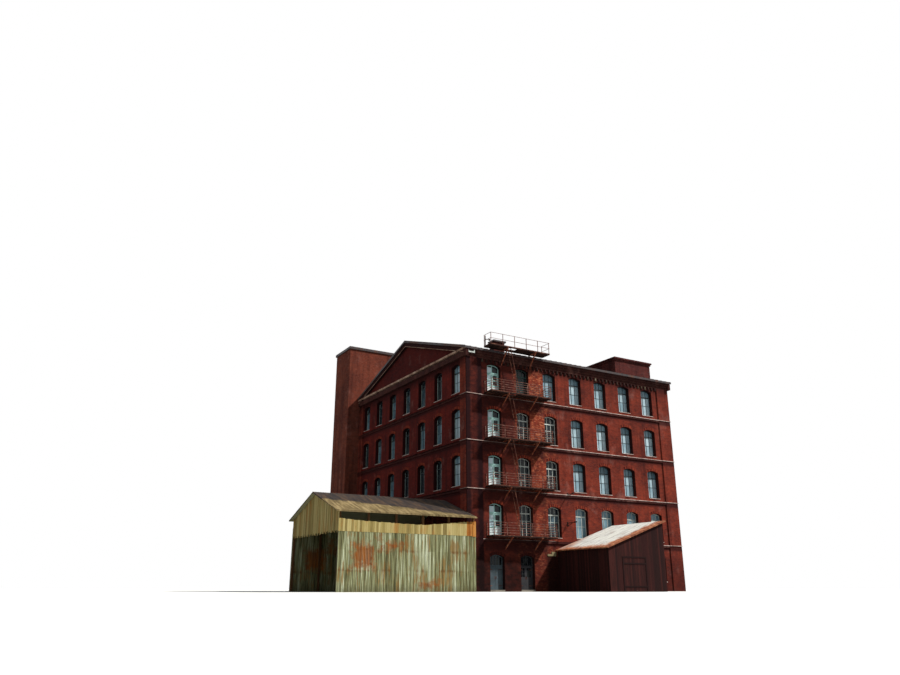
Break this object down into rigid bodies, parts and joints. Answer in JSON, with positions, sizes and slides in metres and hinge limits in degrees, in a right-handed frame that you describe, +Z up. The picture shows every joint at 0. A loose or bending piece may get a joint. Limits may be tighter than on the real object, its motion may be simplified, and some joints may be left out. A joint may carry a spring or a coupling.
{
  "type": "factory building",
  "caption": "Brick textile mill with arched windows, iron fire-escape balconies, hinged ground doors, a rear tower and two attached sheds.",
  "frame": {"origin": "middle of the main block's footprint, at ground level, on the underside of its ground floor", "axes": "+X along the long front from left to right as seen from outside, +Y from the front to the back, +Z up"},
  "size_m": [38.22, 35.17, 27.8],
  "materials": {
    "brick": "weathered fired clay",
    "concrete": "trowelled",
    "floor_boards": "worn planks",
    "roof_metal": "dull dark sheet",
    "window_glass": "old glazing",
    "white_paint": "painted",
    "blue_grey_paint": "painted",
    "grey_paint": "painted",
    "iron": "rusty paint",
    "corrugated_iron": "faded and rusty",
    "ochre_boards": "faded boards",
    "timber": "weathered",
    "rusty_sheet": "rusted sheet",
    "white_sheet": "whitewashed sheet",
    "maroon_boards": "stained boards"
  },
  "bodies": {
    "building": {"back_roof_slope": "roof_metal", "back_wall": "brick", "back_windows": "window_glass", "balcony_brackets": "iron", "balcony_doors": "white_paint", "balcony_ladders": "iron", "balcony_railings": "iron", "corner_pilasters": "brick", "door_1_frame": "blue_grey_paint", "door_2_frame": "grey_paint", "door_lights": "window_glass", "eaves_cornices": "brick", "fifth_storey_deck": "iron", "fourth_storey_deck": "iron", "front_roof_slope": "roof_metal", "front_wall_left": "brick", "front_wall_pier": "brick", "front_wall_right": "brick", "front_wall_upper": "brick", "front_windows": "window_glass", "gable_cornices": "brick", "ground_floor": "concrete", "left_gable_wall": "brick", "left_windows": "window_glass", "low_shed_front_wall": "maroon_boards", "low_shed_roof": "white_sheet", "low_shed_side_walls": "maroon_boards", "ridge_cap": "roof_metal", "right_gable_wall": "brick", "right_windows": "window_glass", "roof_box_cap": "brick", "roof_box_walls": "brick", "roof_platform": "iron", "second_storey_deck": "iron", "shed_back_roof": "rusty_sheet", "shed_back_wall": "corrugated_iron", "shed_boards": "ochre_boards", "shed_front_roof": "rusty_sheet", "shed_front_wall": "corrugated_iron", "shed_posts": "timber", "string_courses": "brick", "third_storey_deck": "iron", "tower_coping": "roof_metal", "tower_roof": "roof_metal", "tower_walls": "brick", "upper_floors": "floor_boards", "vent_stack": "brick", "vent_stack_cap": "roof_metal"},
    "door_1_left": {"door_1_left_leaf": "blue_grey_paint", "door_1_left_hinges": "iron"},
    "door_1_right": {"door_1_right_leaf": "blue_grey_paint", "door_1_right_hinges": "iron"},
    "door_2_left": {"door_2_left_leaf": "grey_paint", "door_2_left_hinges": "iron"},
    "door_2_right": {"door_2_right_leaf": "grey_paint", "door_2_right_hinges": "iron"}
  },
  "joints": [
    {"name": "door_1_left_hinge", "type": "hinge", "parent": "building", "child": "door_1_left", "pos_m": [-10.288, -11.587, 1.2], "axis": [0, 0, -1], "range_deg": [0, 90]},
    {"name": "door_1_right_hinge", "type": "hinge", "parent": "building", "child": "door_1_right", "pos_m": [-8.962, -11.587, 1.2], "axis": [0, 0, 1], "range_deg": [0, 90]},
    {"name": "door_2_left_hinge", "type": "hinge", "parent": "building", "child": "door_2_left", "pos_m": [-7.07967, -11.587, 1.2], "axis": [0, 0, -1], "range_deg": [0, 90]},
    {"name": "door_2_right_hinge", "type": "hinge", "parent": "building", "child": "door_2_right", "pos_m": [-5.75367, -11.587, 1.2], "axis": [0, 0, 1], "range_deg": [0, 90]}
  ]
}
